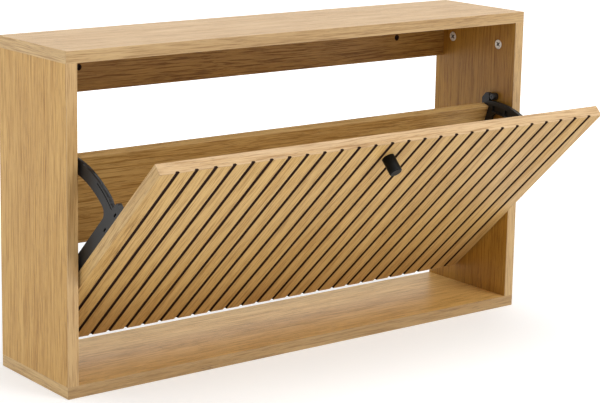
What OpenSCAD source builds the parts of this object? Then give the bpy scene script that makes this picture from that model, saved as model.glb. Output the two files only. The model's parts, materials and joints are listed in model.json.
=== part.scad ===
// Tilt-out shoe cabinet: an open-backed board case with one grooved flap.
// The flap carries two side brackets and a sloping back board, and tilts
// about two pins in the side panels. It is drawn open, resting on its stops.
// X runs across the width, the front is -Y, Z is up. The origin is the
// centre of the underside of the case.

/* [Case] */
// Overall width of the case
case_w = 784; // [560:1:1000]
// Overall height of the case
case_h = 450; // [430:1:560]
// Depth of the case
case_d = 172; // [168:1:240]
// Thickness of the case boards
board_t = 16; // [13.3:0.1:20]
// Thickness of the glued edge banding
band_t = 1; // [0.5:0.1:2]

/* [Wall rail] */
// Height of the rear top rail
rail_h = 67; // [55:1:90]
// Thickness of the rear top rail
rail_t = 16; // [13.3:0.1:20]
// Distance between the two wall-fixing holes
wall_hole_pitch = 560; // [300:1:700]
// Diameter of a wall-fixing hole
wall_hole_d = 8; // [5:0.5:11]

/* [Flap] */
// Thickness of the flap
flap_t = 16; // [13.3:0.1:20]
// Gap between each end of the flap and the side panel
flap_side_gap = 3; // [2:0.5:5]
// Gap between the closed flap and the top panel
flap_top_gap = 3; // [2:0.5:6]
// Gap between the closed flap and the bottom panel, which its tilt needs
flap_bottom_gap = 10; // [8:0.5:20]
// Number of upright grooves in the flap's face
groove_count = 26; // [2:1:40]
// Width of a groove at the flap's face
groove_w = 6.6; // [2:0.1:10]
// Width of a groove's floor, between its sloping walls
groove_floor_w = 3.2; // [1:0.1:8]
// Depth of a groove
groove_depth = 2; // [1:0.1:4]
// Distance from the flap's end to the middle of its first groove
groove_margin = 25; // [15:1:60]

/* [Knob] */
// Diameter of the knob
knob_d = 17.6; // [12:0.1:30]
// Length of the knob
knob_l = 24.5; // [15:0.5:40]
// Distance from the flap's top edge to the knob's axis
knob_drop = 35; // [20:1:80]
// Diameter of the machine screw that holds the knob
knob_screw_d = 4; // [3:0.5:5]

/* [Tilt mechanism] */
// How far the flap leans out at its stop, in degrees
open_angle = 45.7; // [30:0.1:50]
// Height of the pivot above the underside of the case
pivot_z = 162.5; // [150:0.5:180]
// Distance from the flap's inner face back to the pivot
pivot_setback = 19.5; // [17:0.5:26]
// Diameter of the pivot pin's journal
pivot_d = 8; // [6:0.5:10]
// Running clearance round the pivot pin, on the diameter
pivot_clear = 0.16; // [0.06:0.02:0.2]
// Outer radius of the bracket's arc, about the pivot
arc_r = 150.4; // [140:0.1:156]
// Width of the bracket's arc
arc_w = 18; // [12:0.5:24]
// Thickness of a bracket's side wall
bracket_t = 6; // [5:0.5:8]
// Gap between the flap's end and the bracket's outer face
bracket_inset = 0.5; // [0:0.1:2]
// Diameter of the stop peg in each side panel
peg_d = 10.6; // [8:0.1:14]
// Gap between the stop peg and the bracket
peg_clear = 0.4; // [0.3:0.05:1]

/* [Compartment back] */
// Thickness of the compartment's back board
back_t = 12; // [10:0.1:15]
// Height of the back board along its slope
back_h = 133; // [100:1:140]
// Slope of the back board from upright, with the flap closed, in degrees
back_slope = 26; // [20:0.5:32]
// Distance from the pivot to the back board's front face
back_setback = 53; // [45:0.5:56]
// Height of the back board's top edge above the pivot, along its slope
back_top = 131.5; // [100:0.5:132]

/* [Fittings] */
// Diameter of a cam lock
cam_d = 15; // [12:0.5:15]
// Distance from a board's end to the middle of its cam lock
cam_setback = 36; // [24:1:40]
// Distance from the front and back edges to a cam lock
cam_inset = 36; // [30:1:50]
// Diameter of a connecting bolt
bolt_d = 6; // [5:0.5:7]
// Wood left behind a connecting bolt or a dowel
blind_skin = 5; // [3:0.5:6]
// Diameter of a wooden dowel
dowel_d = 8; // [6:1:8]
// Length of a wooden dowel
dowel_l = 30; // [25:1:35]
// Diameter of a wood screw
screw_d = 3.5; // [3:0.1:4]
// Diameter of the long screws up through the bottom panel
corner_screw_d = 5; // [4:0.5:6]
// Length of these screws
corner_screw_l = 50; // [40:1:60]

/* [Hidden] */
$fn = 64;
tiny = 0.01;

// Case
inner_w = case_w - 2 * board_t;
side_h = case_h - 2 * board_t;
front_y = -case_d / 2;
rear_y = case_d / 2;
inner_x = inner_w / 2;
rail_z = case_h - board_t - rail_h;
rail_mid_y = rear_y - rail_t / 2;
rail_fix_offset = rail_h / 4;

// Flap and tilt
flap_w = inner_w - 2 * flap_side_gap;
flap_h = side_h - flap_top_gap - flap_bottom_gap;
flap_bottom_z = board_t + flap_bottom_gap;
pivot_y = front_y + flap_t + pivot_setback;
groove_pitch = (flap_w - 2 * groove_margin) / (groove_count - 1);
flap_inner_a = -pivot_setback;
flap_top_b = flap_bottom_z + flap_h - pivot_z;

// Bracket, seen in the tilting frame: a rearwards and b up from the pivot, flap closed
bracket_out_x = flap_w / 2 - bracket_inset;
bracket_in_x = bracket_out_x - bracket_t;
arc_in_r = arc_r - arc_w;
front_leg_w = 18;
front_leg_in = flap_inner_a + front_leg_w;
rear_leg_front = 10.5;
rear_leg_behind = 2.5;
leg_foot = 21;
hub_r = 12;
hub_l = 10;
rib_t = 2.2;
web_t = 3;
flange_w = 14;
flange_t = 3;
ledge_w = 10;
fillet_r = 12;
small_fillet_r = 7;
fillet_lap = 0.02;
bump_h = 0.9;
bump_angle = 85;
peg_r = arc_r + bump_h + peg_clear + peg_d / 2;
peg_half_angle = asin((peg_d / 2 + peg_clear) / peg_r);
seat_r = peg_d / 2 + 1.7;
horn_round = 4;
seat_bite = 0.2;
horn_edge_a = -peg_d / 2 - peg_clear + seat_bite;
horn_top_b = peg_r + peg_d / 2 + 2;
claw_round = 2;
claw_chamfer = 8;
claw_top = peg_r + peg_d / 2;
claw_w = 15;
stop_angle = 90 - open_angle - peg_half_angle;
tongue_r = arc_r - 3.2;
tongue_gap = 1.8;
tongue_from = 75;
tongue_to = 92;
leg_front_v = back_setback - rear_leg_front;
leg_rear_v = back_setback + back_t + rear_leg_behind;
leg_bottom_u = back_top - back_h - 6;
arc_rear_angle = 90 - back_slope - asin(leg_rear_v / arc_r);
rung_u = leg_bottom_u + 18;
rung_b = hub_r + 4;
bracket_screw_b = [149, 115.5, 18, -12];
window_size = [3, 7];
window_a = flap_inner_a + 5;
back_screw_u = [back_top - 24, back_top - back_h + 24];

// Fittings
cam_chamfer = 0.9;
cam_past_bolt = 0.5;
bolt_hole_d = bolt_d + 2;
bolt_head_d = bolt_d + 0.6;
bolt_neck_d = bolt_d - 2;
bolt_head_l = 3;
bolt_bite = board_t - blind_skin;
cross_w = 2;
cross_l = 8;
cross_depth = 2;
dowel_in_panel = board_t - blind_skin;
pin_flange_d = 15;
pin_flange_gap = 0.5;
pin_shank_l = board_t - 6;
pin_tip = 1;
peg_bite = board_t - 6;
peg_end_x = bracket_in_x;
screw_head_d = screw_d * 2;
corner_screw_head_d = corner_screw_d * 1.9;
screw_skin = 2;
bracket_screw_l = flange_t + flap_t - groove_depth - screw_skin;
back_screw_l = 26;
knob_chamfer = 1.2;
knob_bite = 10;
knob_head_d = knob_screw_d * 2;
knob_head_t = 2.6;
knob_z = flap_h - knob_drop;
cam_ys = [front_y + cam_inset, rear_y - cam_inset];
rail_bolt_z = rail_z + rail_h / 2 - rail_fix_offset;
rail_dowel_z = rail_z + rail_h / 2 + rail_fix_offset;
wall_hole_z = rail_z + rail_h / 2;

// The frame of the tilting unit: origin on the pivot axis, drawn as if closed.
module tilting() {
    translate([0, pivot_y, pivot_z]) rotate([open_angle, 0, 0]) children();
}

// The flap's own frame: origin at the middle of its bottom front edge.
module on_flap() {
    tilting() translate([0, flap_inner_a - flap_t, flap_bottom_z - pivot_z]) children();
}

// The back board's own frame: Y through the board, Z up its slope from the pivot's foot.
module on_back() {
    tilting() rotate([-back_slope, 0, 0]) translate([0, back_setback, 0]) children();
}

// Turns a flat outline in the YZ plane into a wall that runs along +X.
module along_x(from, length) {
    translate([from, 0, 0]) rotate([90, 0, 90]) linear_extrude(length) children();
}

module on_both_sides() {
    children();
    mirror([1, 0, 0]) children();
}

// Cylinder along +X from a point.
module rod_x(at, d, l) {
    translate(at) rotate([0, 90, 0]) cylinder(d = d, h = l);
}

// Cylinder along +Y from a point.
module rod_y(at, d, l) {
    translate(at) rotate([-90, 0, 0]) cylinder(d = d, h = l);
}

// Countersunk wood screw: head face at the origin, shank along +Z.
module wood_screw(d, head_d, l) {
    cone_h = (head_d - d) / 2;
    recess = head_d * 0.5;
    difference() {
        rotate_extrude() polygon([[0, 0], [head_d / 2, 0], [d / 2, cone_h], [d / 2, l - d],
                                  [d / 5, l], [0, l]]);
        for (turn = [0, 90]) rotate([0, 0, turn])
            translate([-recess / 2, -d / 9, -tiny]) cube([recess, d / 4.5, cone_h * 0.8]);
    }
}

// The hole that such a screw fills.
module wood_screw_hole(d, head_d, l) {
    cone_h = (head_d - d) / 2;
    rotate_extrude() polygon([[0, -1], [head_d / 2, -1], [head_d / 2, 0], [d / 2, cone_h],
                              [d / 2, l], [0, l]]);
}

// ---- Case boards ----

// One connecting bolt's thread hole in a panel, drilled up from the origin.
module bolt_thread_hole() {
    translate([0, 0, -tiny]) cylinder(d = bolt_d, h = bolt_bite + tiny);
}

// One corner dowel's hole in a panel, drilled up from the panel's inner face.
module panel_dowel_hole() {
    translate([inner_x + board_t / 2, 0, -tiny]) cylinder(d = dowel_d, h = dowel_in_panel + tiny);
}

// The long screws that come up through the bottom panel into the right side panel.
module corner_screw_places() {
    for (y = cam_ys) translate([inner_x + board_t / 2, y, 0]) children();
}

module flat_panel() {
    translate([-case_w / 2 + band_t, front_y + band_t, 0])
        cube([case_w - 2 * band_t, case_d - band_t, board_t]);
}

module top_panel() {
    color("burlywood") difference() {
        translate([0, 0, case_h - board_t]) flat_panel();
        translate([0, 0, case_h - board_t]) on_both_sides() {
            for (y = cam_ys) translate([inner_x + board_t / 2, y, 0]) bolt_thread_hole();
            panel_dowel_hole();
        }
    }
}

module bottom_panel() {
    color("burlywood") difference() {
        flat_panel();
        on_both_sides() {
            translate([0, 0, board_t]) mirror([0, 0, 1]) panel_dowel_hole();
            corner_screw_places()
                wood_screw_hole(corner_screw_d, corner_screw_head_d, corner_screw_l);
        }
    }
}

// A cam lock reaches just past the bolt in the middle of its board.
function cam_depth(t) = t / 2 + bolt_hole_d / 2 + cam_past_bolt;

// Cam pocket and bolt hole at one end of the right side panel, the end at the origin,
// the panel running down from it.
module cam_pocket() {
    rod_x([-board_t / 2 - tiny, 0, -cam_setback], cam_d, cam_depth(board_t) + tiny);
    translate([0, 0, -cam_setback]) cylinder(d = bolt_hole_d, h = cam_setback + tiny);
}

module side_dowel_hole() {
    translate([inner_x + board_t / 2, 0, -(dowel_l - dowel_in_panel)])
        cylinder(d = dowel_d, h = dowel_l);
}

module right_side() {
    difference() {
        translate([inner_x, front_y + band_t, board_t]) cube([board_t, case_d - band_t, side_h]);
        translate([0, 0, case_h - board_t]) {
            for (y = cam_ys) translate([inner_x + board_t / 2, y, 0]) cam_pocket();
            side_dowel_hole();
        }
        translate([0, 0, board_t]) mirror([0, 0, 1]) side_dowel_hole();
        corner_screw_places() wood_screw_hole(corner_screw_d, corner_screw_head_d, corner_screw_l);
        rod_x([inner_x - tiny, pivot_y, pivot_z], pivot_d, pin_shank_l + tiny);
        rod_x([inner_x - tiny, pivot_y, pivot_z + peg_r], screw_d, peg_bite + tiny);
        rod_x([inner_x - tiny, rail_mid_y, rail_bolt_z], bolt_d, bolt_bite + tiny);
        rod_x([inner_x - tiny, rail_mid_y, rail_dowel_z], dowel_d, dowel_in_panel + tiny);
    }
}

module right_side_panel() {
    color("burlywood") right_side();
}

module left_side_panel() {
    color("burlywood") mirror([1, 0, 0]) right_side();
}

module wall_rail() {
    color("tan") difference() {
        translate([-inner_x, rear_y - rail_t, rail_z]) cube([inner_w, rail_t, rail_h]);
        for (x = [-1, 1] * wall_hole_pitch / 2)
            rod_y([x, rear_y - rail_t - 1, wall_hole_z], wall_hole_d, rail_t + 2);
        on_both_sides() {
            rod_y([inner_x - cam_setback, rear_y - cam_depth(rail_t), rail_bolt_z], cam_d, rail_t);
            rod_x([inner_x - cam_setback, rail_mid_y, rail_bolt_z], bolt_hole_d, cam_setback + 1);
            rod_x([inner_x - (dowel_l - dowel_in_panel), rail_mid_y, rail_dowel_z], dowel_d, dowel_l);
        }
    }
}

// Banding on the front edges of the case boards.
module level_band(z) {
    color("navajowhite") translate([-case_w / 2, front_y, z]) cube([case_w, band_t, board_t]);
}

module upright_band(x) {
    color("navajowhite") translate([x, front_y, board_t]) cube([board_t, band_t, side_h]);
}

module top_front_band() {
    level_band(case_h - board_t);
}

module bottom_front_band() {
    level_band(0);
}

module left_front_band() {
    upright_band(-case_w / 2);
}

module right_front_band() {
    upright_band(inner_x);
}

// Banding on the ends of the top and bottom panels.
module case_end_bands() {
    color("navajowhite") on_both_sides() for (z = [0, case_h - board_t])
        translate([case_w / 2 - band_t, front_y + band_t, z])
            cube([band_t, case_d - band_t, board_t]);
}

// ---- Knock-down fittings ----

// Cam lock for a board: visible face at the origin, body along +Z, the bolt along +X.
module cam_lock(t) {
    difference() {
        rotate_extrude() polygon([[0, 0], [cam_d / 2 - cam_chamfer, 0], [cam_d / 2, cam_chamfer],
                                  [cam_d / 2, cam_depth(t)], [0, cam_depth(t)]]);
        for (turn = [45, 135]) rotate([0, 0, turn])
            translate([-cross_l / 2, -cross_w / 2, -tiny]) cube([cross_l, cross_w, cross_depth]);
        translate([-bolt_head_l, 0, t / 2]) rotate([0, 90, 0])
            cylinder(d = bolt_head_d + 0.6, h = cam_d);
    }
}

// Connecting bolt: its collar at the origin, thread along +Z, head along -Z.
module cam_bolt() {
    reach = cam_setback;
    rotate_extrude() polygon([[0, bolt_bite], [bolt_d / 2 - 1, bolt_bite],
                              [bolt_d / 2, bolt_bite - 1], [bolt_d / 2, 0],
                              [bolt_head_d / 2, 0], [bolt_head_d / 2, -2], [bolt_d / 2, -3],
                              [bolt_d / 2, -reach + bolt_head_l + 5],
                              [bolt_neck_d / 2, -reach + bolt_head_l + 3],
                              [bolt_neck_d / 2, -reach + bolt_head_l],
                              [bolt_head_d / 2, -reach + bolt_head_l - 1],
                              [bolt_head_d / 2, -reach + 1], [bolt_neck_d / 2, -reach],
                              [0, -reach]]);
}

module dowel() {
    chamfer = 1;
    rotate_extrude() polygon([[0, 0], [dowel_d / 2 - chamfer, 0], [dowel_d / 2, chamfer],
                              [dowel_d / 2, dowel_l - chamfer], [dowel_d / 2 - chamfer, dowel_l],
                              [0, dowel_l]]);
}

// Places its children at the two top corners: origin at the side panel's end,
// Z pointing into the top panel.
module at_top_corners() {
    on_both_sides() translate([inner_x + board_t / 2, 0, case_h - board_t]) children();
}

module corner_cam_locks() {
    color("silver") at_top_corners() for (y = cam_ys)
        translate([-board_t / 2, y, -cam_setback]) rotate([0, 90, 0]) mirror([1, 0, 0]) cam_lock(board_t);
}

module corner_cam_bolts() {
    color("gainsboro") at_top_corners() for (y = cam_ys) translate([0, y, 0]) cam_bolt();
}

module corner_dowels() {
    color("wheat") {
        at_top_corners() translate([0, 0, dowel_in_panel - dowel_l]) dowel();
        on_both_sides() translate([inner_x + board_t / 2, 0, board_t - dowel_in_panel]) dowel();
    }
}

module corner_screws() {
    color("silver") on_both_sides() corner_screw_places()
        wood_screw(corner_screw_d, corner_screw_head_d, corner_screw_l);
}

module rail_cam_locks() {
    color("silver") on_both_sides() translate([inner_x - cam_setback, rear_y, rail_bolt_z])
        rotate([90, 0, 0]) cam_lock(rail_t);
}

module rail_cam_bolts() {
    color("gainsboro") on_both_sides() translate([inner_x, rail_mid_y, rail_bolt_z])
        rotate([0, 90, 0]) cam_bolt();
}

module rail_dowels() {
    color("wheat") on_both_sides()
        translate([inner_x - (dowel_l - dowel_in_panel), rail_mid_y, rail_dowel_z])
            rotate([0, 90, 0]) dowel();
}

// ---- Pivot pins and stop pegs, fixed in the side panels ----

// Drawn for the right side: shank in the panel, flange, then the journal in the bracket's hub.
module pivot_pin() {
    flange_l = inner_x - bracket_out_x - pin_flange_gap;
    journal_l = inner_x - bracket_out_x + hub_l + 2;
    r = pivot_d / 2;
    translate([inner_x, pivot_y, pivot_z]) rotate([0, -90, 0])
        rotate_extrude() polygon([[0, -pin_shank_l], [r - pin_tip, -pin_shank_l],
                                  [r, -pin_shank_l + pin_tip], [r, 0],
                                  [pin_flange_d / 2, 0], [pin_flange_d / 2, flange_l],
                                  [r, flange_l], [r, journal_l - pin_tip],
                                  [r - pin_tip, journal_l], [0, journal_l]]);
}

module right_pivot_pin() {
    color("dimgray") pivot_pin();
}

module left_pivot_pin() {
    color("dimgray") mirror([1, 0, 0]) pivot_pin();
}

// A sleeve held by a screw, straight above the pivot.
module stop_peg() {
    peg_l = inner_x - peg_end_x;
    translate([peg_end_x, pivot_y, pivot_z + peg_r]) rotate([0, 90, 0]) difference() {
        rotate_extrude() polygon([[0, 0], [peg_d / 2 - 0.8, 0], [peg_d / 2, 0.8],
                                  [peg_d / 2, peg_l], [0, peg_l]]);
        wood_screw_hole(screw_d, screw_head_d, peg_l + 1);
    }
}

module right_stop_peg() {
    color("dimgray") stop_peg();
}

module left_stop_peg() {
    color("dimgray") mirror([1, 0, 0]) stop_peg();
}

module stop_peg_screws() {
    color("dimgray") on_both_sides() translate([peg_end_x, pivot_y, pivot_z + peg_r])
        rotate([0, 90, 0]) wood_screw(screw_d, screw_head_d, inner_x - peg_end_x + peg_bite);
}

// ---- Flap ----

module bracket_screw_places() {
    on_both_sides() for (b = bracket_screw_b)
        translate([bracket_in_x - flange_w / 2, flap_inner_a, b]) children();
}

// A groove's section, whose walls slope on past the flap's face.
module groove_section() {
    slope = (groove_w - groove_floor_w) / 2 / groove_depth;
    outside = groove_w / 2 + slope;
    polygon([[-outside, -1], [outside, -1],
             [groove_floor_w / 2, groove_depth], [-groove_floor_w / 2, groove_depth]]);
}

// The grooves run out through the flap's top and bottom edges.
module groove_cuts() {
    for (i = [0 : groove_count - 1])
        translate([-flap_w / 2 + groove_margin + i * groove_pitch, 0, -1])
            linear_extrude(flap_h + 2) groove_section();
}

module flap_panel() {
    color("burlywood") difference() {
        on_flap() difference() {
            translate([-flap_w / 2 + band_t, 0, band_t])
                cube([flap_w - 2 * band_t, flap_t, flap_h - 2 * band_t]);
            groove_cuts();
            rod_y([0, -1, knob_z], knob_screw_d, flap_t + 2);
        }
        tilting() bracket_screw_places() rotate([90, 0, 0])
            cylinder(d = screw_d, h = bracket_screw_l - flange_t);
    }
}

module flap_edge_strip(z) {
    color("navajowhite") on_flap() difference() {
        translate([-flap_w / 2, 0, z]) cube([flap_w, flap_t, band_t]);
        groove_cuts();
    }
}

module flap_top_band() {
    flap_edge_strip(flap_h - band_t);
}

module flap_bottom_band() {
    flap_edge_strip(0);
}

module flap_side_bands() {
    color("navajowhite") on_flap() on_both_sides()
        translate([flap_w / 2 - band_t, 0, band_t]) cube([band_t, flap_t, flap_h - 2 * band_t]);
}

module knob() {
    color("#202020") on_flap() translate([0, 0, knob_z]) rotate([90, 0, 0]) difference() {
        rotate_extrude($fn = 96) polygon([[0, 0], [knob_d / 2, 0],
                                          [knob_d / 2, knob_l - knob_chamfer],
                                          [knob_d / 2 - knob_chamfer, knob_l], [0, knob_l]]);
        translate([0, 0, -tiny]) cylinder(d = knob_screw_d, h = knob_bite + 1);
    }
}

module knob_screw() {
    color("silver") on_flap() translate([0, flap_t, knob_z]) rotate([90, 0, 0]) difference() {
        rotate_extrude() polygon([[0, -knob_head_t], [knob_head_d / 2 - 1, -knob_head_t],
                                  [knob_head_d / 2, -knob_head_t + 1], [knob_head_d / 2, 0],
                                  [knob_screw_d / 2, 0], [knob_screw_d / 2, flap_t + knob_bite],
                                  [0, flap_t + knob_bite]]);
        for (turn = [0, 90]) rotate([0, 0, turn])
            translate([-knob_screw_d / 2, -0.5, -knob_head_t - 1]) cube([knob_screw_d, 1, 2.5]);
    }
}

// ---- Side brackets ----

// A point at radius r and angle from +Y (towards +Z) about the pivot.
function polar(r, angle) = [r * cos(angle), r * sin(angle)];

// A point of the rear leg: u up the slope from the pivot's foot, v out from the pivot.
function on_slope(u, v) = [u * sin(back_slope) + v * cos(back_slope),
                           u * cos(back_slope) - v * sin(back_slope)];

// Part of a flat ring about the pivot, between two angles from +Y.
module ring_slice(r_in, r_out, from, to) {
    far = r_out * 2;
    intersection() {
        difference() {
            circle(r_out, $fn = 240);
            circle(r_in, $fn = 240);
        }
        polygon([[0, 0], polar(far, from), polar(far, (from + to) / 2), polar(far, to)]);
    }
}

function unit(v) = v / norm(v);

// Fills an inner corner at p between two edges that leave it along d1 and d2.
module corner_fillet(p, d1, d2, r) {
    half = acos(d1 * d2) / 2;
    centre = p + unit(d1 + d2) * r / sin(half);
    reach = r / tan(half);
    difference() {
        polygon([p - (d1 + d2) * 2, p + d1 * reach, centre, p + d2 * reach]);
        translate(centre) circle(r + fillet_lap);
    }
}

// Fills the corner between the inside of the arc and a straight edge at distance e from
// the pivot, the edge running along Y and the open side being towards +X (side = 1) or -X.
module arc_fillet(e, side, r) {
    cx = e + side * r;
    cy = sqrt(pow(arc_in_r - r, 2) - cx * cx);
    corner_y = sqrt(arc_in_r * arc_in_r - e * e);
    difference() {
        polygon([[e, cy], [cx, cy], unit([cx, cy]) * arc_in_r, [e - side * 3, corner_y + 4]]);
        translate([cx, cy]) circle(r + fillet_lap);
    }
}

rung_front = [front_leg_in, rung_b];
rung_rear = on_slope(rung_u, leg_front_v);
leg_up = on_slope(1, 0);

module bracket_outline() {
    difference() {
        union() {
            // front leg, against the flap's inner face
            translate([flap_inner_a, -leg_foot])
                square([front_leg_w, arc_in_r + 8 + leg_foot]);
            // horn that meets the stop peg when the flap is closed
            translate([flap_inner_a, 0])
                square([horn_edge_a - flap_inner_a, horn_top_b - horn_round]);
            translate([flap_inner_a, 0])
                square([horn_edge_a - horn_round - flap_inner_a, horn_top_b]);
            translate([horn_edge_a - horn_round, horn_top_b - horn_round]) circle(horn_round);
            // arc about the pivot
            ring_slice(arc_in_r, arc_r, arc_rear_angle + 2, 95);
            // low bump at the end of the spring
            intersection() {
                ring_slice(arc_r - 1, arc_r + 2, bump_angle - 8, 90);
                translate(polar(arc_r / 2 + bump_h, bump_angle)) circle(arc_r / 2, $fn = 240);
            }
            // rear leg, along the end of the back board
            intersection() {
                circle(arc_r, $fn = 240);
                polygon([on_slope(leg_bottom_u, leg_front_v), on_slope(leg_bottom_u, leg_rear_v),
                         on_slope(arc_r, leg_rear_v), on_slope(arc_r, leg_front_v)]);
            }
            // bottom rung and hub
            polygon([[flap_inner_a + 2, rung_b], rung_front, rung_rear,
                     on_slope(rung_u, leg_rear_v), on_slope(leg_bottom_u, leg_rear_v),
                     [flap_inner_a + 2, -leg_foot]]);
            circle(hub_r);
            // claw that meets the stop peg when the flap is open
            rotate(stop_angle) {
                polygon([[arc_in_r + 4, 0], [claw_top - claw_round, 0],
                         [claw_top - claw_round, -claw_round], [claw_top, -claw_round],
                         [claw_top, claw_chamfer - claw_w], [claw_top - claw_chamfer, -claw_w],
                         [arc_in_r + 4, -claw_w]]);
                translate([claw_top - claw_round, -claw_round]) circle(claw_round);
            }
            // rounded inner corners
            arc_fillet(front_leg_in, 1, fillet_r);
            rotate(-back_slope) arc_fillet(leg_front_v, -1, fillet_r);
            corner_fillet(rung_front, [0, 1], unit(rung_rear - rung_front), small_fillet_r);
            corner_fillet(rung_rear, leg_up, unit(rung_front - rung_rear), small_fillet_r);
        }
        // seat for the stop peg when closed
        translate([horn_edge_a - seat_bite + seat_r, peg_r]) circle(seat_r);
    }
}

// Moulded pockets in the bracket's inner side, which leave a rim and ribs.
module bracket_pockets() {
    leg_bottom = rung_b + small_fillet_r;
    leg_top = bracket_screw_b[1] - window_size[1] / 2 - 3;
    leg_step = (leg_top - leg_bottom + rib_t) / 3;
    for (i = [0 : 2]) translate([flap_inner_a + rib_t + 2, leg_bottom + i * leg_step])
        square([front_leg_w - 2 * rib_t - 2, leg_step - rib_t]);
    arc_from = arc_rear_angle + 8;
    arc_step = (88 - arc_from + 1) / 4;
    for (i = [0 : 3])
        ring_slice(arc_in_r + rib_t, tongue_r - tongue_gap / 2 - rib_t,
                   arc_from + i * arc_step, arc_from + (i + 1) * arc_step - 1);
    rear_step = (back_h - 40) / 3;
    rotate(-back_slope) for (i = [0 : 2])
        translate([leg_front_v + rib_t, rung_u + 8 + i * rear_step])
            square([rear_leg_front - 2 * rib_t, rear_step - rib_t]);
}

// Right-hand bracket in the tilting frame.
module bracket() {
    difference() {
        union() {
            difference() {
                along_x(bracket_in_x, bracket_t) bracket_outline();
                along_x(bracket_in_x - 1, bracket_t - web_t + 1) bracket_pockets();
            }
            // hub
            rod_x([bracket_out_x - hub_l, 0, 0], hub_r * 2, hub_l);
            // screw flange on the flap's inner face
            translate([bracket_in_x - flange_w, flap_inner_a, -leg_foot])
                cube([flange_w + 1, flange_t, bracket_screw_b[0] + leg_foot + 10]);
            // ledge behind the back board
            rotate([-back_slope, 0, 0])
                translate([bracket_in_x - ledge_w, back_setback + back_t, back_top - back_h])
                    cube([ledge_w + 1, rear_leg_behind, back_h - 6]);
        }
        rod_x([bracket_in_x - 10, 0, 0], pivot_d + pivot_clear, bracket_t + 20);
        // spring slot beside the arc's rim
        along_x(bracket_in_x - 1, bracket_t + 2)
            ring_slice(tongue_r - tongue_gap / 2, tongue_r + tongue_gap / 2,
                       tongue_from, tongue_to);
        // windows beside the two upper flap screws
        for (i = [0, 1])
            translate([bracket_in_x - 1, window_a - window_size[0] / 2,
                       bracket_screw_b[i] - window_size[1] / 2])
                cube([bracket_t + 2, window_size[0], window_size[1]]);
        for (b = bracket_screw_b)
            translate([bracket_in_x - flange_w / 2, flap_inner_a + flange_t, b])
                rotate([90, 0, 0]) wood_screw_hole(screw_d, screw_head_d, flange_t + 1);
        rotate([-back_slope, 0, 0]) for (u = back_screw_u)
            translate([bracket_out_x, back_setback + back_t / 2, u]) rotate([0, -90, 0])
                wood_screw_hole(screw_d, screw_head_d, bracket_t + 1);
    }
}

module right_bracket() {
    color("#2b2b2b") tilting() bracket();
}

module left_bracket() {
    color("#2b2b2b") tilting() mirror([1, 0, 0]) bracket();
}

module bracket_screws() {
    color("silver") tilting() bracket_screw_places() translate([0, flange_t, 0])
        rotate([90, 0, 0]) wood_screw(screw_d, screw_head_d, bracket_screw_l);
}

// ---- Compartment back ----

module back_screw_places() {
    on_both_sides() for (u = back_screw_u)
        translate([bracket_out_x, back_t / 2, u]) rotate([0, -90, 0]) children();
}

module compartment_back() {
    color("burlywood") on_back() difference() {
        translate([-bracket_in_x, 0, back_top - back_h + band_t])
            cube([2 * bracket_in_x, back_t, back_h - 2 * band_t]);
        back_screw_places() cylinder(d = screw_d, h = back_screw_l);
    }
}

module compartment_back_bands() {
    color("navajowhite") on_back() for (z = [back_top - back_h, back_top - band_t])
        translate([-bracket_in_x, 0, z]) cube([2 * bracket_in_x, back_t, band_t]);
}

module back_board_screws() {
    color("silver") on_back() back_screw_places()
        wood_screw(screw_d, screw_head_d, back_screw_l);
}

top_panel();
bottom_panel();
left_side_panel();
right_side_panel();
wall_rail();
top_front_band();
bottom_front_band();
left_front_band();
right_front_band();
case_end_bands();
corner_cam_locks();
corner_cam_bolts();
corner_dowels();
corner_screws();
rail_cam_locks();
rail_cam_bolts();
rail_dowels();
left_pivot_pin();
right_pivot_pin();
left_stop_peg();
right_stop_peg();
stop_peg_screws();
flap_panel();
flap_top_band();
flap_bottom_band();
flap_side_bands();
knob();
knob_screw();
left_bracket();
right_bracket();
bracket_screws();
compartment_back();
compartment_back_bands();
back_board_screws();
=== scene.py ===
import json
import math

import bmesh
import bpy
from mathutils import Matrix, Vector


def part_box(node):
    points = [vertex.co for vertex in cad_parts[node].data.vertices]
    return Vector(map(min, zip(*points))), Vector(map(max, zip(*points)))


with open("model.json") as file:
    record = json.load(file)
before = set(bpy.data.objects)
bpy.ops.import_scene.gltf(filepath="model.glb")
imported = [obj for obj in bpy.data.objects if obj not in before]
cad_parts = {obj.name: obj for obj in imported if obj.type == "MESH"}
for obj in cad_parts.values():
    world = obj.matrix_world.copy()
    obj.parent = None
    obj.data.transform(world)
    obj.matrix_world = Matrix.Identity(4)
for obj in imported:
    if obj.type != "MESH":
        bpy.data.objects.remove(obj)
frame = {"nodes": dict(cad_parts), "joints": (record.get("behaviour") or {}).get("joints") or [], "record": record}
NODES = frame["nodes"]
SCENE = bpy.context.scene
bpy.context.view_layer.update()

# ------------------------------------------------------------------ frame facts
FLAP_JOINT = frame["joints"][0]
LEAN = math.radians(FLAP_JOINT["range_deg"][1])      # how far the flap stands open at rest
BACK_BOARD_LEAN = math.radians(26)                   # the back board's own angle to the flap
INTO_FLAP = Vector((0, math.cos(LEAN), math.sin(LEAN)))   # square to its face, rearwards
SIDE_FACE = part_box("right_side_panel")[0].x          # inner faces of the side panels, at +-x
RAIL_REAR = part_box("wall_rail")[1].y                 # rear face of the wall rail

X_AXIS, Y_AXIS, Z_AXIS = (1, 0, 0), (0, 1, 0), (0, 0, 1)
WHITE = (1, 1, 1, 1)


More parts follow.
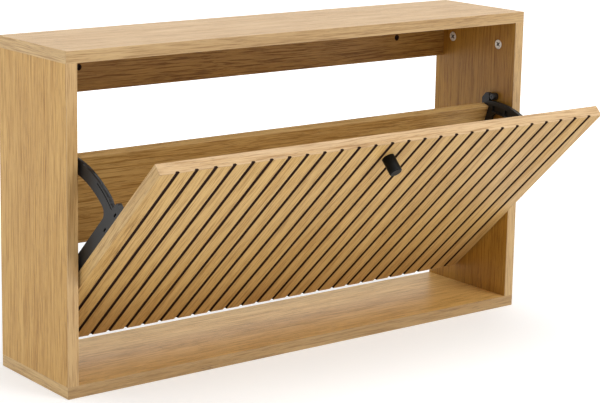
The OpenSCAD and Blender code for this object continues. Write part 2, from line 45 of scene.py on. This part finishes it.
# ------------------------------------------------------------------ node helpers
class Nodes:
    """Builds one material's node tree with short calls."""

    def __init__(self, name):
        self.material = bpy.data.materials.new(name)
        self.material.use_nodes = True
        self.tree = self.material.node_tree
        self.tree.nodes.clear()
        self.out = self.add("ShaderNodeOutputMaterial")
        self.shader = self.add("ShaderNodeBsdfPrincipled")
        self.link(self.shader.outputs["BSDF"], self.out.inputs["Surface"])

    def add(self, kind, **settings):
        node = self.tree.nodes.new(kind)
        for key, value in settings.items():
            setattr(node, key, value)
        return node

    def link(self, source, target):
        self.tree.links.new(source, target)

    def put(self, socket, value):
        """Sets a socket to a number or colour, or links it if value is a socket."""
        if isinstance(value, bpy.types.NodeSocket):
            self.link(value, socket)
        else:
            socket.default_value = value

    def feed(self, name, source):
        """Links a varying value to one of the shader's inputs."""
        self.link(source, self.shader.inputs[name])

    def fix(self, name, value):
        """Sets one of the shader's inputs to the same value all over the surface."""
        self.shader.inputs[name].default_value = value

    def math(self, operation, a, b=0.0):
        node = self.add("ShaderNodeMath", operation=operation)
        self.put(node.inputs[0], a)
        self.put(node.inputs[1], b)
        return node.outputs[0]

    def remap(self, value, from_low, from_high, to_low=0.0, to_high=1.0, smooth=True):
        node = self.add("ShaderNodeMapRange",
                        interpolation_type="SMOOTHSTEP" if smooth else "LINEAR")
        self.put(node.inputs["Value"], value)
        for key, number in (("From Min", from_low), ("From Max", from_high),
                            ("To Min", to_low), ("To Max", to_high)):
            node.inputs[key].default_value = number
        return node.outputs["Result"]

    def mix(self, factor, a, b, blend="MIX"):
        node = self.add("ShaderNodeMix", data_type="RGBA", blend_type=blend)
        self.put(node.inputs["Factor"], factor)
        self.put(node.inputs["A"], a)
        self.put(node.inputs["B"], b)
        return node.outputs["Result"]

    def vector_math(self, operation, a, b):
        node = self.add("ShaderNodeVectorMath", operation=operation)
        self.put(node.inputs[0], a)
        self.put(node.inputs[1], b)
        return node

    def coordinates(self):
        return self.add("ShaderNodeTexCoord").outputs["Object"]

    def noise(self, vector, scale, detail=4.0, rough=0.55):
        node = self.add("ShaderNodeTexNoise")
        self.link(vector, node.inputs["Vector"])
        node.inputs["Scale"].default_value = scale
        node.inputs["Detail"].default_value = detail
        node.inputs["Roughness"].default_value = rough
        return node.outputs["Fac"]

    def place(self, rotation=(0, 0, 0), scale=(1, 1, 1), shift=(0, 0, 0)):
        """Object coordinates, turned and then stretched: they ride with the piece."""
        turn = self.add("ShaderNodeMapping", vector_type="POINT")
        self.link(self.coordinates(), turn.inputs["Vector"])
        turn.inputs["Rotation"].default_value = rotation
        stretch = self.add("ShaderNodeMapping", vector_type="POINT")
        self.link(turn.outputs["Vector"], stretch.inputs["Vector"])
        stretch.inputs["Scale"].default_value = scale
        stretch.inputs["Location"].default_value = shift
        return stretch.outputs["Vector"]

    def along(self, axis):
        """The distance along one direction, in metres."""
        return self.vector_math("DOT_PRODUCT", self.coordinates(), axis).outputs["Value"]

    def bump(self, height, distance, strength):
        node = self.add("ShaderNodeBump")
        self.link(height, node.inputs["Height"])
        node.inputs["Distance"].default_value = distance
        node.inputs["Strength"].default_value = strength
        self.feed("Normal", node.outputs["Normal"])

    def edge_wear_and_highlight(self, radius):
        """0 on flat faces and up to 1 close to convex edges."""
        bevel = self.add("ShaderNodeBevel", samples=4)
        bevel.inputs["Radius"].default_value = radius
        geometry = self.add("ShaderNodeNewGeometry")
        facing = self.vector_math("DOT_PRODUCT", bevel.outputs["Normal"],
                                  geometry.outputs["Normal"])
        return self.remap(facing.outputs["Value"], 0.999, 0.86)


# ------------------------------------------------------------------ masks inside one piece
# Each returns a mask, the colour that it lays on, and how the colour is blended in.
GROOVE_BROWN = (0.022, 0.0070, 0.0020, 1)
# raw board core with painted shade, for the rail's fixing holes and a ring around them
RAW_CORE_AND_HOLE_SHADE = (0.050, 0.020, 0.009, 1)
# painted shade: darkens and browns the side panels' inner faces
INNER_PAINTED_SHADE = (0.74, 0.64, 0.32, 1)


def lowest(node, axis):
    return min(vertex.co.dot(axis) for vertex in NODES[node].data.vertices)


def groove_layout():
    """The grooves' first middle, pitch, widths at face and floor, and depth.

    They are read from the notches in the flap's top band. A notch has four corners across,
    because its walls slope, and the band's own end comes before the first of them.
    """
    corners = [vertex.co for vertex in NODES["flap_top_band"].data.vertices]
    across = sorted({round(corner.x, 5) for corner in corners})
    depths = sorted({round(corner.dot(INTO_FLAP), 5) for corner in corners})
    return ((across[1] + across[4]) / 2, across[5] - across[1], across[4] - across[1],
            across[3] - across[2], depths[1] - depths[0])


def groove_lining(n):
    """1 on the walls and floors of the flap's grooves."""
    first, pitch, face_width, floor_width, floor_depth = groove_layout()
    behind = n.math("SUBTRACT", n.along(INTO_FLAP), lowest("flap_top_band", INTO_FLAP))
    inside = n.math("MULTIPLY", n.remap(behind, 0.0001, 0.0005),
                    n.remap(behind, floor_depth + 0.0003, floor_depth + 0.0001))
    turns = n.math("DIVIDE", n.math("SUBTRACT", n.along(X_AXIS), first), pitch)
    off = n.math("SUBTRACT", n.math("FRACT", n.math("ADD", turns, 0.5)), 0.5)
    aside = n.math("MULTIPLY", n.math("ABSOLUTE", off), pitch)
    wall = n.remap(behind, 0.0, floor_depth, face_width / 2, floor_width / 2, smooth=False)
    inside = n.math("MULTIPLY", inside,
                    n.remap(n.math("SUBTRACT", aside, wall), 0.0004, 0.0002))
    return inside, GROOVE_BROWN, "MIX"


def hole_lining(n):
    """1 inside the two fixing holes through the rail and in a thin ring on the face around each: the board's raw
    core darkened with painted shade inside, and painted shade on the ring.
    """
    holes = next(m for m in frame["record"]["mounts"] if m["name"] == "wall_holes")
    radius = holes["dims"]["hole_r_mm"] / 1000
    across = n.math("SUBTRACT", n.math("ABSOLUTE", n.along(X_AXIS)),
                    holes["dims"]["spacing_x_mm"] / 2000)
    above = n.math("SUBTRACT", n.along(Z_AXIS), holes["pos_m"][2])
    away = n.math("SQRT", n.math("ADD", n.math("MULTIPLY", across, across),
                                 n.math("MULTIPLY", above, above)))
    return n.remap(away, radius + 0.0007, radius + 0.0002), RAW_CORE_AND_HOLE_SHADE, "MIX"


def behind_side_face(n):
    """How far a point lies outwards of the side panels' inner faces."""
    return n.math("SUBTRACT", n.math("ABSOLUTE", n.along(X_AXIS)), SIDE_FACE)


def inner_face_painted_shade(n):
    """1 on the side panels' inner faces, which are multiplied darker and browner than outside: painted shade from
    the case that encloses them.
    """
    return n.remap(behind_side_face(n), 0.003, 0.001), INNER_PAINTED_SHADE, "MULTIPLY"


def side_recess(n):
    """1 in the cross recess of a cam lock set in the inner face of a side panel."""
    return n.remap(behind_side_face(n), 0.0002, 0.0008)


def rail_recess(n):
    """1 in the cross recess of a cam lock set in the back of the rail."""
    behind = n.math("SUBTRACT", RAIL_REAR, n.along(Y_AXIS))
    return n.remap(behind, 0.0002, 0.0008)


# ------------------------------------------------------------------ oak
PALE_OAK = (0.640, 0.435, 0.185, 1)
WARM_OAK = (0.500, 0.295, 0.092, 1)
DARK_OAK = (0.290, 0.148, 0.035, 1)
PORE = (0.150, 0.074, 0.022, 1)
# painted highlight: the colour that oak's convex edges are lightened towards
OAK_EDGE_HIGHLIGHT = (0.80, 0.62, 0.40, 1)
OAK_EDGE_HIGHLIGHT_REACH = 0.0011          # how far the painted edge highlight reaches in from an edge
BEND = 0.03                # how far the streaks wander sideways
DARK_STREAK, LIGHT_STREAK = 0.58, 0.50
STREAK_EDGE = 0.24         # how softly a streak begins
OAK_RELIEF = 0.00013


def oak(name, grain, seed, rotation=(0, 0, 0), tint=(1, 1, 1), figure=1.0, depth=None,
        gloss=0.62, crisp=1.25):
    """Oak finish whose grain runs along one axis of the turned piece."""
    n = Nodes(name)
    lengthwise = "XYZ".index(grain)

    def stretched(length, width, offset):
        scale = [1 / width] * 3
        scale[lengthwise] = 1 / length
        return n.place(rotation, scale, [seed * 3.1 + offset] * 3)

    # a slow sideways wander bends every finer streak in the same way
    wander = n.noise(stretched(0.70, 0.14, 1.0), 1.0, 2.0)
    offsets = n.add("ShaderNodeCombineXYZ")
    for i in range(3):
        if i != lengthwise:
            n.link(wander, offsets.inputs[i])

    def streaks(length, width, offset, detail, rough):
        spread = n.add("ShaderNodeVectorMath", operation="SCALE")
        n.link(offsets.outputs["Vector"], spread.inputs[0])
        spread.inputs["Scale"].default_value = BEND / width
        bent = n.vector_math("ADD", stretched(length, width, offset),
                             spread.outputs["Vector"])
        return n.noise(bent.outputs["Vector"], 1.0, detail, rough)

    rings = n.add("ShaderNodeTexWave", wave_type="RINGS", rings_direction="SPHERICAL",
                  wave_profile="SAW")
    n.link(stretched(0.95, 0.105, 0.35), rings.inputs["Vector"])
    for key, number in (("Scale", 1.5), ("Distortion", 3.0), ("Detail", 2.0),
                        ("Detail Scale", 0.7)):
        rings.inputs[key].default_value = number
    rings = rings.outputs["Fac"]

    broad = streaks(0.60, 0.022, 2.0, 3.0, 0.55)
    fine = streaks(0.075, 0.0021, 3.0, 4.0, 0.62)
    light = streaks(0.060, 0.0017, 6.0, 3.0, 0.60)
    hair = streaks(0.020, 0.00070, 4.0, 3.0, 0.60)
    patch = n.noise(stretched(0.45, 0.18, 5.0), 1.0, 2.0, 0.5)

    edge = STREAK_EDGE / crisp
    base = n.mix(n.remap(broad, 0.28, 0.72, 0.18, 0.82), PALE_OAK, WARM_OAK)
    base = n.mix(n.remap(patch, 0.35, 0.75, 0.0, 0.16), base, DARK_OAK)
    base = n.mix(n.remap(rings, 0.55, 1.0, 0.0, 0.16 * figure), base, DARK_OAK)
    base = n.mix(n.remap(fine, 0.46, 0.46 + edge, 0.0, min(DARK_STREAK * crisp, 0.95)),
                 base, DARK_OAK)
    base = n.mix(n.remap(light, 0.48, 0.48 + edge, 0.0, min(LIGHT_STREAK * crisp, 0.90)),
                 base, PALE_OAK)
    pores = n.math("MULTIPLY", n.remap(hair, 0.55, 0.68, 0.0, 0.75),
                   n.remap(broad, 0.36, 0.62, 0.35, 1.0))
    base = n.mix(pores, base, PORE)
    # the piece's tint: partly its tone, partly painted light and shade set piece by piece
    base = n.mix(1.0, base, (*tint, 1), "MULTIPLY")
    # painted highlight: convex edges lightened as if they catch the light
    base = n.mix(n.math("MULTIPLY", n.edge_wear_and_highlight(OAK_EDGE_HIGHLIGHT_REACH), 0.12), base, OAK_EDGE_HIGHLIGHT)

    rough = n.remap(fine, 0.3, 0.8, 0.38, 0.50)
    height = n.math("SUBTRACT", n.math("MULTIPLY", fine, 0.4), n.math("MULTIPLY", pores, 0.8))
    if depth is not None:
        inside, colour, blend = depth(n)
        base = n.mix(inside, base, colour, blend)
        if blend == "MIX":
            rough = n.math("ADD", rough, n.math("MULTIPLY", inside, 0.50))
    n.feed("Base Color", base)
    n.feed("Roughness", rough)
    n.bump(height, OAK_RELIEF, 0.6)
    n.fix("Specular IOR Level", gloss)
    return n.material


# ------------------------------------------------------------------ plastic, metal, beech
RUBBED_BLACK = (0.16, 0.155, 0.15, 1)
RECESS_DARK = (0.02, 0.018, 0.016, 1)
PALE_BEECH = (0.62, 0.43, 0.25, 1)
WARM_BEECH = (0.48, 0.30, 0.15, 1)


def scaled(colour, factor):
    return tuple(part * factor for part in colour[:3]) + (1,)


def plastic(name, colour, rough, grain=0.00006, gloss=0.36):
    """Dark moulded plastic with a fine spark-eroded grain and rubbed edges."""
    n = Nodes(name)
    place = n.place()
    speck = n.noise(place, 2600, 3.0, 0.6)
    cloud = n.noise(place, 38, 3.0, 0.5)
    base = n.mix(n.remap(cloud, 0.3, 0.7), colour, scaled(colour, 1.55))
    base = n.mix(n.math("MULTIPLY", n.edge_wear_and_highlight(0.0009), 0.16), base, RUBBED_BLACK)
    n.feed("Base Color", base)
    n.feed("Roughness", n.remap(cloud, 0.25, 0.75, rough - 0.05, rough + 0.07))
    n.bump(speck, grain, 0.6)
    n.fix("Specular IOR Level", gloss)
    return n.material


def metal(name, colour, rough, metallic=1.0, recess=None):
    """Zinc die casting or plated steel, slightly mottled, and darker in its recesses."""
    n = Nodes(name)
    place = n.place()
    mottle = n.noise(place, 420, 4.0, 0.6)
    cast = n.noise(place, 1900, 2.0, 0.5)
    base = n.mix(n.remap(mottle, 0.35, 0.7), colour, scaled(colour, 0.72))
    if recess is not None:
        # the recesses are darkened
        base = n.mix(recess(n), base, RECESS_DARK)
    n.feed("Base Color", base)
    n.feed("Roughness", n.remap(mottle, 0.3, 0.7, rough - 0.06, rough + 0.1))
    n.bump(cast, 0.00005, 0.5)
    n.fix("Metallic", metallic)
    return n.material


def beech(name):
    """Turned wooden dowel, with flecks about 4 mm apart."""
    n = Nodes(name)
    fleck = n.noise(n.place(scale=(1 / 0.004,) * 3), 1.0, 4.0, 0.6)
    n.feed("Base Color", n.mix(n.remap(fleck, 0.35, 0.7), PALE_BEECH, WARM_BEECH))
    n.feed("Roughness", n.remap(fleck, 0.3, 0.7, 0.55, 0.7))
    n.bump(fleck, 0.0001, 0.5)
    return n.material


# ------------------------------------------------------------------ a material for each piece
FLAP_TURN = (-LEAN, 0, 0)      # turns the open flap's coordinates upright
BACK_TURN = (-LEAN + BACK_BOARD_LEAN, 0, 0)

# piece: material name, the axis that the grain runs along, seed, and what is special to it
# The tints are partly each board's tone and partly painted light and shade: the bottom panel is lightened where
# the flap shades it, the rail, back board and front bands are darkened, and the top faces are made bluer as a
# painted sheen.
OAK_PIECES = {
    # painted sheen: the top face's tint made bluer
    "top_panel": ("oak top", "X", 1, dict(tint=(0.97, 0.97, 1.13))),
    # painted light: the bottom panel lightened where the flap shades it
    "bottom_panel": ("oak bottom", "X", 2, dict(tint=(1.40, 1.38, 1.22))),
    "left_side_panel": ("oak left", "Z", 3, dict(
        tint=(1.00, 0.90, 0.65), depth=inner_face_painted_shade, gloss=0.30)),
    "right_side_panel": ("oak right", "Z", 4, dict(
        tint=(1.01, 0.93, 0.72), depth=inner_face_painted_shade, gloss=0.28)),
    # painted shade: the rail darkened and browned under the top panel
    "wall_rail": ("oak rail", "X", 5, dict(
        tint=(0.71, 0.61, 0.38), depth=hole_lining, gloss=0.35, crisp=2.2)),
    # front bands: partly their own tone, partly painted shade that darkens them
    "top_front_band": ("oak band top", "X", 6, dict(tint=(0.83, 0.82, 0.87))),
    "bottom_front_band": ("oak band bottom", "X", 7, dict(tint=(0.71, 0.68, 0.68))),
    "left_front_band": ("oak band left", "Z", 8, dict(tint=(0.91, 0.88, 0.90))),
    "right_front_band": ("oak band right", "Z", 9, dict(tint=(0.88, 0.87, 0.91))),
    "case_end_bands": ("oak band ends", "Y", 10, dict()),
    "flap_panel": ("oak flap", "Z", 11, dict(
        rotation=FLAP_TURN, tint=(0.97, 0.94, 0.86), figure=0.4, depth=groove_lining,
        gloss=0.25)),
    # painted sheen: the flap's upward top edge made bluer
    "flap_top_band": ("oak band flap top", "X", 12, dict(
        rotation=FLAP_TURN, tint=(0.94, 0.97, 1.30), depth=groove_lining, gloss=0.25)),
    "flap_bottom_band": ("oak band flap bottom", "X", 13, dict(
        rotation=FLAP_TURN, depth=groove_lining, gloss=0.25)),
    "flap_side_bands": ("oak band flap sides", "Z", 14, dict(rotation=FLAP_TURN, gloss=0.40)),
    # painted shade: the back board darkened inside the compartment
    "compartment_back": ("oak back board", "X", 15, dict(
        rotation=BACK_TURN, tint=(0.94, 0.92, 0.82), crisp=1.6)),
    "compartment_back_bands": ("oak back board bands", "X", 16, dict(rotation=BACK_TURN)),
}

BLACK_GREY = (0.0085, 0.0080, 0.0075, 1)
KNOB_BLACK = (0.0022, 0.0021, 0.0015, 1)
CASTING = (0.95, 0.93, 0.88, 1)
PLATING = (0.66, 0.66, 0.67, 1)
BLACKENED = (0.03, 0.03, 0.033, 1)


def paint(material, *nodes):
    for node in nodes:
        for slot in NODES[node].material_slots:
            slot.material = material


for node, (name, grain, seed, special) in OAK_PIECES.items():
    paint(oak(name, grain, seed, **special), node)
paint(plastic("black plastic", BLACK_GREY, 0.46),
      "left_bracket", "right_bracket", "left_pivot_pin", "right_pivot_pin",
      "left_stop_peg", "right_stop_peg")
paint(plastic("black knob", KNOB_BLACK, 0.42, 0.00004, 0.12), "knob")
paint(metal("zinc casting sides", CASTING, 0.45, 0.25, side_recess), "corner_cam_locks")
paint(metal("zinc casting rail", CASTING, 0.45, 0.25, rail_recess), "rail_cam_locks")
paint(metal("plated steel", PLATING, 0.28),
      "corner_cam_bolts", "rail_cam_bolts", "corner_screws", "knob_screw",
      "bracket_screws", "back_board_screws")
paint(metal("blackened steel", BLACKENED, 0.35, 0.4), "stop_peg_screws")
paint(beech("beech dowel"), "corner_dowels", "rail_dowels")


# ------------------------------------------------------------------ softened edges
def soften(node, width, angle=40):
    """Rounds a CAD node's sharp edges with modifiers; its own mesh stays as packed."""
    piece = NODES[node]
    weld = piece.modifiers.new("weld", "WELD")
    weld.merge_threshold = 1e-6
    bevel = piece.modifiers.new("bevel", "BEVEL")
    bevel.width = width
    bevel.segments = 2
    bevel.limit_method = "ANGLE"
    bevel.angle_limit = math.radians(angle)
    bevel.use_clamp_overlap = True


for node in ("top_panel", "bottom_panel", "left_side_panel", "right_side_panel", "wall_rail",
             "compartment_back"):
    soften(node, 0.0005)
soften("flap_panel", 0.00045)
for node in ("top_front_band", "bottom_front_band", "left_front_band", "right_front_band",
             "case_end_bands", "flap_top_band", "flap_bottom_band", "flap_side_bands",
             "compartment_back_bands"):
    soften(node, 0.0003)
for node in ("left_bracket", "right_bracket", "left_stop_peg", "right_stop_peg", "knob"):
    soften(node, 0.0004, angle=30)

# ------------------------------------------------------------------ floor and light
FLOOR_REACH = 14.0
FLOOR_DROP = 0.0004            # keeps the floor just clear of the case's underside
FLOOR_GLOW = 0.42
AMBIENT = 0.42
LIGHT_TARGET = (0, -0.05, 0.2)
LIGHTS = {                     # place, size in metres, power in watts
    "overhead": ((0.2, -0.3, 2.8), (2.4, 2.0), 40),
    "front_high": ((0.9, -2.4, 1.9), (1.3, 1.0), 36),
    "front_low": ((0.3, -3.2, 0.8), (1.5, 1.0), 6),
    "left": ((-3.0, 0.5, 1.4), (1.6, 1.4), 18),
    "front_left": ((-1.6, -1.9, 2.4), (1.4, 1.4), 6),
}


def floor_material():
    """Pale floor that brightens into its white backdrop away from the object."""
    n = Nodes("floor")
    cloud = n.noise(n.place(), 3.0, 2.0)
    n.feed("Base Color", n.mix(cloud, (0.66, 0.66, 0.66, 1), (0.68, 0.68, 0.68, 1)))
    n.fix("Roughness", 0.9)
    n.fix("Specular IOR Level", 0.1)
    away = n.add("ShaderNodeVectorMath", operation="LENGTH")
    n.link(n.coordinates(), away.inputs[0])
    away = away.outputs["Value"]
    n.fix("Emission Color", WHITE)
    behind = n.remap(n.along((0.6, 0.8, 0)), -0.3, 0.5)
    backdrop = n.math("MULTIPLY", n.remap(away, 0.3, 1.3), behind)
    backdrop = n.math("MAXIMUM", backdrop, n.remap(away, 1.6, 3.6))
    n.feed("Emission Strength", n.math("MAXIMUM", backdrop, FLOOR_GLOW))
    return n.material


def make_floor():
    mesh = bmesh.new()
    corners = [mesh.verts.new((x * FLOOR_REACH, y * FLOOR_REACH, -FLOOR_DROP))
               for x, y in ((-1, -1), (1, -1), (1, 1), (-1, 1))]
    mesh.faces.new(corners)
    data = bpy.data.meshes.new("floor")
    mesh.to_mesh(data)
    mesh.free()
    floor = bpy.data.objects.new("floor", data)
    SCENE.collection.objects.link(floor)
    data.materials.append(floor_material())


def make_world():
    """A white studio to the camera and in reflections, and a dimmer one as light."""
    world = bpy.data.worlds.new("studio")
    SCENE.world = world
    world.use_nodes = True
    tree = world.node_tree
    sky = tree.nodes["Background"]
    sky.inputs["Strength"].default_value = 1.0
    ray = tree.nodes.new("ShaderNodeLightPath")
    shade = tree.nodes.new("ShaderNodeMix")
    shade.data_type = "RGBA"
    shade.inputs["A"].default_value = (AMBIENT, AMBIENT, AMBIENT, 1)
    shade.inputs["B"].default_value = WHITE
    either = tree.nodes.new("ShaderNodeMath")
    either.operation = "MAXIMUM"
    tree.links.new(ray.outputs["Is Camera Ray"], either.inputs[0])
    tree.links.new(ray.outputs["Is Glossy Ray"], either.inputs[1])
    tree.links.new(either.outputs[0], shade.inputs["Factor"])
    tree.links.new(shade.outputs["Result"], sky.inputs["Color"])


def area_light(name, place, size, power):
    data = bpy.data.lights.new(name, "AREA")
    data.shape = "RECTANGLE"
    data.size, data.size_y = size
    data.energy = power
    lamp = bpy.data.objects.new(name, data)
    lamp.location = place
    aim = Vector(LIGHT_TARGET) - Vector(place)
    lamp.rotation_euler = aim.to_track_quat("-Z", "Y").to_euler()
    SCENE.collection.objects.link(lamp)


make_floor()
make_world()
for name, (place, size, power) in LIGHTS.items():
    area_light(name, place, size, power)
SCENE.view_settings.view_transform = "Standard"
SCENE.view_settings.look = "None"

# ------------------------------------------------------------------ camera
CAMERA_PLACE = (-1.55081, -2.04227, 0.78405)
CAMERA_TURN = (-37.0288, 11.4669, 0.8826)      # azimuth, elevation and roll in degrees
CAMERA_LENS, SENSOR_WIDTH = 111.2293, 36.0
CAMERA_SHIFT = (0.05, -0.08)


def make_camera():
    data = bpy.data.cameras.new("camera")
    data.sensor_width = SENSOR_WIDTH
    data.sensor_fit = "HORIZONTAL"
    data.lens = CAMERA_LENS
    data.shift_x, data.shift_y = CAMERA_SHIFT
    data.clip_start, data.clip_end = 0.05, 50
    camera = bpy.data.objects.new("camera", data)
    SCENE.collection.objects.link(camera)
    SCENE.camera = camera
    azimuth, elevation, roll = (math.radians(angle) for angle in CAMERA_TURN)
    back = Vector((math.sin(azimuth) * math.cos(elevation),
                   -math.cos(azimuth) * math.cos(elevation), math.sin(elevation)))
    right = (-back).cross(Vector(Z_AXIS)).normalized()
    up = right.cross(-back)
    turned_right = right * math.cos(roll) + up * math.sin(roll)
    turned_up = up * math.cos(roll) - right * math.sin(roll)
    columns = Matrix((turned_right, turned_up, back)).transposed().to_4x4()
    camera.matrix_world = Matrix.Translation(CAMERA_PLACE) @ columns


make_camera()
